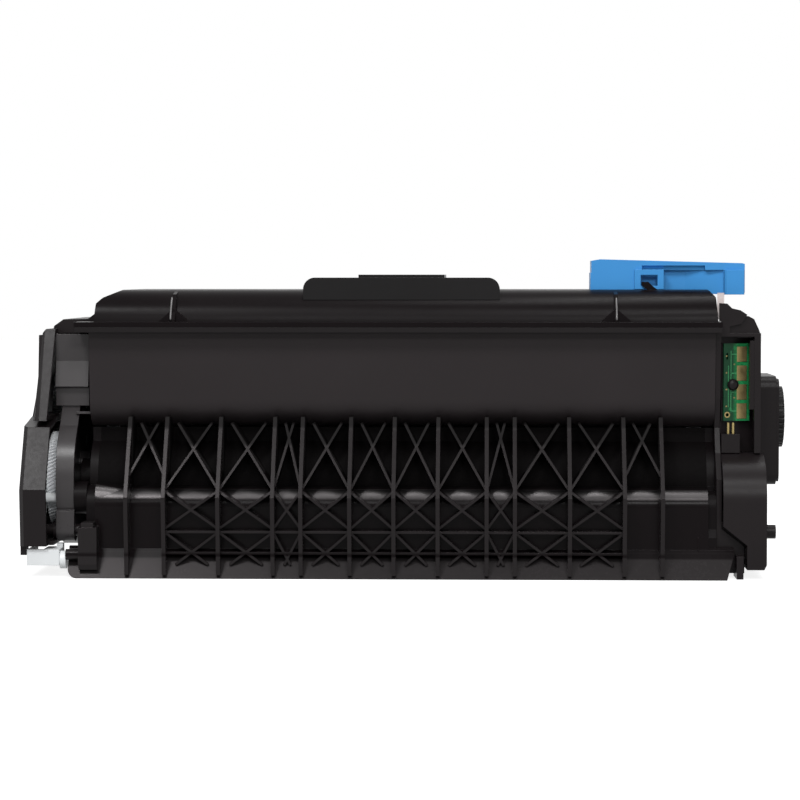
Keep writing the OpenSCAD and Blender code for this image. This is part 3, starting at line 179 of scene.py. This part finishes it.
def plastic(name, color, rough, spec, grain, depth, radius=0.3 * MM, edge_wear_and_glint=1.6, scuffs=0.03,
            coat=0.0, dust=0.2, zones=None):
    """Moulded plastic: eroded grain, patchy gloss, a little dust, and lighter edges, partly worn by
    handling and partly painted highlight.

    grain and depth are the bump's scale and strength, radius is how far an edge reaches and the factor
    after it how much lighter the edge is, partly as wear and partly as painted highlight, scuffs is how
    far the roughness varies, and zones may change colour and roughness on some of the surface.
    """
    shader = Shader(name, {"Specular IOR Level": spec, "Coat Weight": coat, "Coat Roughness": 0.15})
    normal = shader.rounded(radius)
    edge = shader.edge_mask(normal)
    patches = shader.noise(PATCH_SCALE)
    specks = shader.noise(SPECK_SCALE, 4.0, rough=0.7)
    tint = shader.mix(shader.remap(patches, *NOISE_SPAN), scaled(color, 0.93), scaled(color, 1.07))
    tint = shader.mix(shader.remap(specks, 0.64, 0.8, 0.0, dust), tint, scaled(color, 1.5))
    # Lighter edges: partly wear from handling, partly painted highlight.
    tint = shader.mix(shader.times(edge, 0.6), tint, scaled(color, edge_wear_and_glint))
    matt = shader.remap(patches, *NOISE_SPAN, rough - scuffs, rough + scuffs)
    matt = shader.plus(matt, shader.remap(specks, 0.4, 0.7, -0.015, 0.03))
    matt = shader.math("SUBTRACT", matt, shader.times(edge, 0.05))
    if zones:
        tint, matt = zones(shader, tint, matt)
    grains = shader.bump(shader.noise(grain, 2.0), depth, GRAIN_HEIGHT, normal)
    return shader.finish(tint, matt, grains)


# Where a painted highlight, a lighter and metallic tint, lies on the paper guide: how much, and the zone
# along Z and Y as (low, high, soft width)
PAINTED_SHEEN_ZONES = (
    (1.0, (33.2, 36.0, 2.0), (-47.0, -43.4, 0.5)),     # the rounded edge above the lower wall
    (0.24, (-5.0, 8.8, 0.6), (-65.0, -49.5, 0.5)),     # the band along the base
    (0.22, (11.0, 75.0, 1.0), (-65.0, -47.9, 0.3)),    # the fronts of the ribs
    (0.22, (43.0, 76.0, 1.0), (-65.0, -38.0, 0.5)),    # the fronts of the ribs above the edge
)
# Tint and added roughness of the painted highlight.
PAINTED_SHEEN_TONE, PAINTED_SHEEN_MATT = (0.060, 0.0565, 0.0572), 0.13
# The recess behind the ribs: its darker tint is painted shade, and its added roughness is a coarser
# grain.
RECESS_Y = (-42.0, 40.0, 1.0)
RECESS_SHADE_TONE, RECESS_MATT = (0.0016, 0.0011, 0.0012), 0.5


def guide_zones(shader, tint, matt):
    """The guide is coarse and dull in the recess, which carries painted shade, and it has a painted
    highlight, a lighter metallic tint, on its rounded edge, base band and rib fronts.
    """
    position = shader.position()
    # Mask of where the painted highlight lies.
    painted_sheen = 0.0
    for amount, z_zone, y_zone in PAINTED_SHEEN_ZONES:
        rows, columns = shader.window(position, "Z", *z_zone), shader.window(position, "Y", *y_zone)
        painted_sheen = shader.math("MAXIMUM", painted_sheen, shader.times(shader.times(rows, columns), amount))
    # Mask of the recess, which gets painted shade and more roughness.
    recess_shade = shader.window(position, "Y", *RECESS_Y)
    # Painted shade in the recess first, then the painted highlight's lighter tint over it.
    tint = shader.mix(painted_sheen, shader.mix(recess_shade, tint, RECESS_SHADE_TONE), PAINTED_SHEEN_TONE)
    more = shader.plus(shader.times(recess_shade, RECESS_MATT), shader.times(painted_sheen, PAINTED_SHEEN_MATT))
    # The painted highlight is also metallic, so that it reflects more brightly.
    shader.link(painted_sheen, shader.bsdf.inputs["Metallic"])
    return tint, shader.plus(matt, more)


RIM_LOW, RIM_HIGH = 98.0 * MM, 98.6 * MM    # heights in the frame between which the rim's colour sets in
RIM_TONE = (0.0040, 0.0028, 0.0031)


def rim_zone(shader, tint, matt):
    """The flange round the top of the hopper is darker than the eroded wall under it."""
    return shader.mix(shader.remap(shader.position()["Z"], RIM_LOW, RIM_HIGH), tint, RIM_TONE), matt


def metal(name, color, rough, lines=(4.0, 900.0, 900.0), depth=0.10):
    """Plated or turned metal, where lines is the scale of its brushing along each axis."""
    shader = Shader(name, {"Metallic": 1.0})
    brush = shader.noise(1.0, vector=shader.mapped(Scale=lines))
    cloud = shader.noise(CLOUD_SCALE)
    tint = shader.mix(shader.remap(cloud, *NOISE_SPAN), scaled(color, 0.84), color)
    matt = shader.remap(brush, *NOISE_SPAN, rough - 0.08, rough + 0.08)
    lines_bump = shader.bump(brush, depth, GRAIN_HEIGHT, shader.rounded(0.2 * MM))
    return shader.finish(tint, matt, lines_bump)


def foam(name, color):
    """Open cells, dark inside their pores."""
    shader = Shader(name, {"Specular IOR Level": 0.2})
    pores = shader.cells(2600.0)
    tint = shader.mix(shader.remap(pores, 0.0, 0.35, 1.0, 0.0), color, scaled(color, 0.3))
    matt = shader.remap(pores, 0.0, 0.5, 1.0, 0.85)
    return shader.finish(tint, matt, shader.bump(pores, 0.9, 0.15 * MM))


def film(name, color, alpha):
    """Thin, slightly wavy sheet that lets some light through."""
    shader = Shader(name, {"Alpha": alpha, "Specular IOR Level": 0.6})
    waves = shader.noise(90.0, 2.0)
    tint = shader.mix(shader.remap(waves, *NOISE_SPAN), color, scaled(color, 0.9))
    matt = shader.remap(shader.noise(300.0), *NOISE_SPAN, 0.18, 0.32)
    return shader.finish(tint, matt, shader.bump(waves, 0.3, 0.2 * MM))


PAINTED_LIGHT_FROM, PAINTED_LIGHT_TO = 134.5, 136.5    # where along X the board's painted shade turns into painted light
BRICKS = {
    "Scale": 420.0, "Mortar Size": 0.035, "Brick Width": 0.9, "Row Height": 0.3,
    "Color1": (0.0, 0.0, 0.0), "Color2": (0.1, 0.1, 0.1), "Mortar": (1.0, 1.0, 1.0),
}


def circuit(name, dark, bright):
    """Solder mask over copper: broad pours and fine tracks, with painted light on the contacts' side and
    painted shade on the other.
    """
    shader = Shader(name, {"Specular IOR Level": 0.18})
    pours = shader.remap(shader.cells(230.0), 0.18, 0.24, 1.0, 0.0)
    upright = shader.mapped(Rotation=(math.radians(90), 0.0, 0.0))
    fine = shader.node("ShaderNodeTexBrick", {**BRICKS, "Vector": upright}, offset=0.35)
    side = shader.remap(shader.position()["X"], PAINTED_LIGHT_FROM * MM + SHIFT.x, PAINTED_LIGHT_TO * MM + SHIFT.x)
    # Painted shade on one side of the board, painted light on the contacts' side.
    ground = shader.mix(side, dark, bright)
    tint = shader.mix(shader.times(pours, 0.4), ground, scaled(bright, 1.3))
    tint = shader.mix(shader.times(fine.outputs["Color"], 0.35), tint, scaled(dark, 1.6))
    tint = shader.mix(shader.remap(shader.noise(900.0), 0.45, 0.6, 0.0, 0.3), tint, scaled(dark, 0.6))
    matt = shader.remap(shader.noise(200.0), *NOISE_SPAN, 0.25, 0.4)
    return shader.finish(tint, matt, shader.bump(pours, 0.15, 0.04 * MM))


MATERIALS = {
    "wall": plastic("satin black wall", (0.0165, 0.0135, 0.0142), 0.45,
                    spec=0.12, grain=2400, depth=0.08, zones=rim_zone),
    "case": plastic("moulded black", (0.0090, 0.0070, 0.0075), 0.33,
                    spec=0.10, grain=1500, depth=0.10, edge_wear_and_glint=2.0),
    "lid": plastic("grained black lid", (0.0044, 0.0030, 0.0034), 0.31,
                   spec=0.045, grain=1100, depth=0.12, edge_wear_and_glint=2.2),
    # The guide's edges are lightened strongly, as painted highlight along its ribs and lattice.
    "guide": plastic("glossy black guide", (0.0042, 0.0027, 0.0031), 0.22,
                     spec=0.055, grain=2200, depth=0.05, radius=0.2 * MM, edge_wear_and_glint=8.0, zones=guide_zones),
    "frame": plastic("dark moulded frame", (0.0040, 0.0030, 0.0033), 0.40,
                     spec=0.05, grain=1300, depth=0.12),
    "plate": plastic("moulded end plate", (0.0330, 0.0300, 0.0310), 0.30,
                     spec=0.22, grain=1500, depth=0.08, edge_wear_and_glint=1.8),
    "knob": plastic("dark filler cap", (0.0045, 0.0040, 0.0042), 0.35,
                    spec=0.12, grain=1500, depth=0.08, edge_wear_and_glint=3.0),
    "white": plastic("white acetal resin", (0.66, 0.68, 0.69), 0.36,
                     spec=0.4, grain=900, depth=0.05, edge_wear_and_glint=1.03),
    # The gear's white is lighter than the resin of the other white parts: painted light on the gear,
    # which sits shaded in its slot.
    "gear": plastic("white gear resin, painted lighter", (0.86, 0.88, 0.90), 0.36,
                    spec=0.4, grain=900, depth=0.05, edge_wear_and_glint=1.02),
    "blue": plastic("blue moulded handle", (0.048, 0.245, 0.560), 0.34,
                    spec=0.12, grain=1600, depth=0.05, edge_wear_and_glint=1.25, dust=0.05),
    "rubber": plastic("conductive rubber", (0.014, 0.014, 0.015), 0.62,
                      spec=0.2, grain=3000, depth=0.3, edge_wear_and_glint=1.2),
    "amber": plastic("amber blade rubber", (0.33, 0.24, 0.09), 0.4,
                     spec=0.4, grain=700, depth=0.04, edge_wear_and_glint=1.1),
    "drum": plastic("photoconductor coat", (0.012, 0.105, 0.095), 0.14,
                    spec=0.5, grain=700, depth=0.02, edge_wear_and_glint=1.1, scuffs=0.02, coat=0.4, dust=0.05),
    "steel": metal("plated steel", (0.58, 0.59, 0.61), 0.30),
    "sleeve": metal("blasted sleeve", (0.22, 0.22, 0.225), 0.50, lines=(900.0, 900.0, 900.0), depth=0.3),
    "gold": metal("worn gold plate", (0.30, 0.235, 0.105), 0.42, lines=(300.0, 300.0, 300.0), depth=0.05),
    "foam": foam("open cell foam", (0.045, 0.045, 0.048)),
    "film": film("clear stiff film", (0.80, 0.84, 0.86), 0.45),
    "seal": film("translucent sealing film", (0.72, 0.62, 0.60), 0.7),
    # The dark and bright greens are painted shade and painted light across the angled board.
    "board": circuit("green solder mask", (0.0022, 0.036, 0.013), (0.014, 0.200, 0.060)),
    # A pale bead: painted highlight on the gussets' front edges.
    "bead": plastic("painted highlight bead", (0.115, 0.110, 0.110), 0.3,
                    spec=0.5, grain=1500, depth=0.05, edge_wear_and_glint=1.1),
    "ink": plastic("pale solder mask", (0.045, 0.250, 0.100), 0.35,
                   spec=0.25, grain=900, depth=0.04, edge_wear_and_glint=1.2),
}

LOOKS = {
    "toner_hopper": "wall", "hopper_lid": "lid", "carry_handle": "knob", "paper_guide": "guide",
    "waste_frame": "frame", "left_end_plate": "plate", "left_end_cover": "case",
    "left_guide_foot": "white", "left_frame_pin": "case", "drum_helical_gear": "gear",
    "right_end_plate": "case", "right_end_cover": "case", "right_side_cap": "case",
    "chip_holder": "case", "chip_board": "board", "chip_pads": "gold", "contact_block": "case",
    "contact_pins": "gold", "rear_cover": "case", "seal_handle": "blue", "seal_film": "seal",
    "filler_cap": "knob", "drum_axle": "steel", "idler_stud": "steel", "doctor_blade": "steel",
    "wiper_bracket": "steel", "wiper_blade": "amber", "charge_springs": "steel",
    "charge_blocks": "white", "roller_bushes": "white", "cover_screws": "steel",
    "drum_tube": "drum", "drum_flange_left": "knob", "drum_flange_right": "white",
    "charge_shaft": "steel", "charge_rubber": "rubber", "developer_shaft": "steel",
    "developer_sleeve": "sleeve", "developer_gear": "white", "supply_shaft": "steel",
    "supply_foam": "foam", "supply_gear": "white", "agitator_shaft": "white",
    "agitator_film": "film", "agitator_gear": "white", "idler_gear": "white",
    "auger_screw": "white", "auger_gear": "white",
}


def dress_nodes():
    """Gives every node of the frame its material."""
    for name, look in LOOKS.items():
        slots = NODES[name].data.materials
        for k in range(len(slots)):
            slots[k] = MATERIALS[look]
        if not slots:
            slots.append(MATERIALS[look])


# Pieces
def piece(name, bm, look, body):
    """Makes a piece of a finished bmesh, gives it its material, and ties it to its body."""
    mesh = bpy.data.meshes.new(name)
    bm.to_mesh(mesh)
    bm.free()
    obj = bpy.data.objects.new(name, mesh)
    scene.collection.objects.link(obj)
    mesh.materials.append(MATERIALS[look])
    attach(obj, body)


def circle(sides):
    """The angles of the points of a circle."""
    return [2 * math.pi * k / sides for k in range(sides)]


def skin(bm, lower, upper):
    """Joins two loops of as many points each with a band of faces."""
    for k in range(len(lower)):
        n = (k + 1) % len(lower)
        bm.faces.new((lower[k], lower[n], upper[n], upper[k]))


def rounded_boxes(bm, boxes, radius, segments, place):
    """Boxes in millimetres, as ((x0, x1), (y0, y1), (z0, z1)), with rounded edges, put in place."""
    for spans in boxes:
        low, high = (Vector([span[k] for span in spans]) * MM for k in (0, 1))
        part = bmesh.ops.create_cube(bm, size=1.0)["verts"]
        for v in part:
            v.co = Vector([low[i] if v.co[i] < 0 else high[i] for i in range(3)])
        edges = {e for v in part for e in v.link_edges}
        thinnest = min(high[i] - low[i] for i in range(3))
        bmesh.ops.bevel(bm, geom=list(edges), offset=min(radius * MM, thinnest * 0.45),
                        segments=segments, profile=0.5, affect="EDGES", clamp_overlap=True)
    bm.transform(place)
    bm.normal_update()


BOARD_CORNER, BOARD_TURN = (130.9, -34.0, 0.0), math.radians(18)
BOARD = Matrix.Translation(at(*BOARD_CORNER)) @ Matrix.Rotation(BOARD_TURN, 4, "Z")
BOARD_LOW, BOARD_HIGH = 62.9, 94.4        # heights of the board's lower and upper edge
PROUD, SUNK = 0.05, 0.02                  # how far a track stands out of the board and reaches into it
CONTACT_TOP, CONTACT_PITCH = 4.4, 7.7     # the first contact's distance from the upper edge, and the step
VIA_START, VIA_PITCH = 6.0, 3.4           # the first via's distance from the lower edge, and the step
VIA_X = (1.2, 4.6)                        # the vias' distances from the board's side, in turn


def ring(bm, centre, inner, outer, sides):
    """Flat ring that stands proud of the board, about a centre given on the board."""
    loops = []
    for radius, depth in ((inner, 0.0), (inner, -PROUD), (outer, -PROUD), (outer, 0.0)):
        points = [(centre[0] + radius * math.cos(a), depth, centre[1] + radius * math.sin(a))
                  for a in circle(sides)]
        loops.append([bm.verts.new(BOARD @ (Vector(point) * MM)) for point in points])
    for lower, upper in zip(loops, loops[1:] + loops[:1]):
        skin(bm, lower, upper)


def add_board_details():
    """Small things on the circuit board: tracks to the contacts, the eyelet of a hole and vias."""
    tracks = [((3.0, 3.35), (BOARD_LOW + 3.5, BOARD_HIGH - 3.0)),
              ((1.9, 2.2), (BOARD_LOW + 5.5, BOARD_HIGH - 9.0))]
    for k in range(4):
        z = BOARD_HIGH - CONTACT_TOP - CONTACT_PITCH * k
        tracks.append(((3.0, 5.8), (z - 0.2, z + 0.2)))
    bm = bmesh.new()
    rounded_boxes(bm, [(x_span, (-PROUD, SUNK), z_span) for x_span, z_span in tracks], 0.03, 1, BOARD)
    piece("board_tracks", bm, "ink", "cartridge")

    bm = bmesh.new()
    ring(bm, (1.6, BOARD_LOW + 2.5), 0.70, 1.25, 24)
    for k in range(7):
        ring(bm, (VIA_X[k % 2], BOARD_LOW + VIA_START + VIA_PITCH * k), 0.12, 0.34, 14)
    bmesh.ops.recalc_face_normals(bm, faces=bm.faces)
    piece("board_eyelets", bm, "gold", "cartridge")


# The front edge of a gusset of the lid, as (y, z), and the places of the two gussets along X
FIN_EDGE = ((-37.3, 113.2), (-37.8, 112.7), (-38.7, 111.9), (-40.4, 110.0), (-42.0, 108.0),
            (-43.4, 105.4), (-43.8, 104.4), (-43.9, 103.9))
FIN_X = (-93.2, 87.1)
BEAD_RADIUS, BEAD_SIDES, BEAD_TIP = 0.38, 8, 0.35    # the tip is the share of the radius at both ends
BEAD_PROUD = 0.05


def bead(bm, path):
    """Round bead along a path in one plane across X, narrowed and closed at both ends."""
    across = Vector((1.0, 0.0, 0.0))
    last = len(path) - 1
    loops = []
    for i, q in enumerate(path):
        along = (path[min(i + 1, last)] - path[max(i - 1, 0)]).normalized()
        out = along.cross(across).normalized()
        tip = BEAD_TIP if i in (0, last) else 1.0
        spokes = [(across * math.cos(a) + out * math.sin(a)) * BEAD_RADIUS * tip
                  for a in circle(BEAD_SIDES)]
        loops.append([bm.verts.new(at(*(q + spoke))) for spoke in spokes])
    for lower, upper in zip(loops, loops[1:]):
        skin(bm, lower, upper)
    bm.faces.new(loops[0][::-1])
    bm.faces.new(loops[-1])


def add_fin_highlight_beads():
    """Pale beads on the front edges of the two gussets: a painted highlight where the edges catch the
    light.
    """
    bm = bmesh.new()
    for x in FIN_X:
        bead(bm, [Vector((x, y - BEAD_PROUD, z)) for y, z in FIN_EDGE])
    bmesh.ops.recalc_face_normals(bm, faces=bm.faces)
    for face in bm.faces:
        face.smooth = len(face.verts) == 4
    piece("fin_edge_highlight_beads", bm, "bead", "cartridge")


def add_gap_web():
    """Thin web behind the slit beside the right cover, so that nothing shines through it."""
    bm = bmesh.new()
    web = ((127.8, 146.0), (-43.6, -42.4), (12.0, 27.0))
    rounded_boxes(bm, [web], 0.3, 2, Matrix.Translation(SHIFT))
    piece("right_gap_web", bm, "frame", "cartridge")


dress_nodes()
add_board_details()
add_fin_highlight_beads()
add_gap_web()


# Stage, light and camera
FLOOR_SIZE, FLOOR_COLOR = 8.0, (0.5, 0.5, 0.5)
NEAR, FAR = 0.25, 0.9               # distances from the middle between which the floor brightens
NEAR_LEVEL, WHITE_LEVEL = 0.84, 1.0
WORLD_LEVEL = 0.20                  # what the world sheds on the object
LIGHTS = (
    # name, place, aim, width, height, power
    ("key", (-0.38, -0.82, 1.02), (-0.12, -0.04, 0.05), 0.26, 0.24, 7.5),
    ("side", (0.26, -0.96, 0.97), (0.06, -0.04, 0.05), 0.44, 0.18, 5.0),
    ("low", (0.30, -1.55, 0.70), (0.06, -0.04, 0.05), 0.30, 0.14, 5.5),
    ("strip", (0.12, -0.05, 1.06), (0.06, -0.03, 0.06), 0.6, 0.06, 3.5),
    ("front", (-0.15, -1.20, 0.62), (-0.14, -0.02, 0.05), 0.14, 0.3, 2.2),
)
CAMERA_PLACE = (36.1, -1150.0, 121.6)
CAMERA_WAY = (-90.0 / 2738, 1.0, -123.5 / 2738)    # looks a little to the left and down
FOCAL, FRAME, SENSOR = 2742.0, 800, 36    # focal length and frame in pixels, sensor in millimetres


def turned_to(way):
    """The rotation that makes a camera or lamp look along a direction."""
    return way.to_track_quat("-Z", "Y").to_euler()


def add_floor():
    """Pale floor that shows white to the camera and in reflections, and keeps the shadow."""
    bpy.ops.mesh.primitive_plane_add(size=FLOOR_SIZE, location=(0, 0, 0))
    floor = bpy.context.object
    floor.name = "studio_floor"
    mat = blank_material("pale floor")
    nodes = Nodes(mat.node_tree)
    rays = nodes.node("ShaderNodeLightPath").outputs
    seen = nodes.math("MAXIMUM", rays["Is Camera Ray"], rays["Is Glossy Ray"])
    # Brighter away from the object, so that the far floor meets the backdrop and the shadow stays near
    coords = nodes.node("ShaderNodeTexCoord").outputs["Object"]
    length = nodes.node("ShaderNodeVectorMath", {0: coords}, operation="LENGTH").outputs["Value"]
    level = nodes.times(seen, nodes.remap(length, NEAR, FAR, NEAR_LEVEL, WHITE_LEVEL))
    diffuse = nodes.node("ShaderNodeBsdfDiffuse", {"Color": FLOOR_COLOR}).outputs[0]
    white = nodes.node("ShaderNodeEmission", {"Strength": level}).outputs[0]
    both = nodes.node("ShaderNodeAddShader", {0: diffuse, 1: white}).outputs[0]
    nodes.node("ShaderNodeOutputMaterial", {"Surface": both})
    floor.data.materials.append(mat)


def add_world():
    """White to the camera, in reflections and through films, and a faint light on everything else."""
    world = bpy.data.worlds.new("studio")
    scene.world = world
    world.use_nodes = True
    nodes = Nodes(world.node_tree)
    rays = nodes.node("ShaderNodeLightPath").outputs
    shown = nodes.math("MAXIMUM", rays["Is Camera Ray"], rays["Is Transmission Ray"])
    shown = nodes.math("MAXIMUM", shown, rays["Is Glossy Ray"])
    back = world.node_tree.nodes["Background"]
    nodes.put((1.0, 1.0, 1.0), back.inputs["Color"])
    nodes.put(nodes.remap(shown, 0.0, 1.0, WORLD_LEVEL, WHITE_LEVEL), back.inputs["Strength"])


def add_light(name, place, aim, width, height, power):
    """Rectangular area lamp."""
    data = bpy.data.lights.new(name, "AREA")
    data.energy = power
    data.shape = "RECTANGLE"
    data.size = width
    data.size_y = height
    lamp = bpy.data.objects.new(name, data)
    lamp.location = place
    lamp.rotation_euler = turned_to(Vector(aim) - Vector(place))
    scene.collection.objects.link(lamp)


def add_camera():
    """The photograph's view: right of the middle and a little above, from about 1.15 m."""
    data = bpy.data.cameras.new("camera")
    data.lens = FOCAL / FRAME * SENSOR
    data.sensor_width = SENSOR
    data.clip_start = 0.05
    cam = bpy.data.objects.new("camera", data)
    cam.location = at(*CAMERA_PLACE)
    cam.rotation_euler = turned_to(Vector(CAMERA_WAY))
    scene.collection.objects.link(cam)
    scene.camera = cam


scene.view_settings.view_transform = "Standard"
add_floor()
add_world()
add_camera()
for light in LIGHTS:
    add_light(*light)
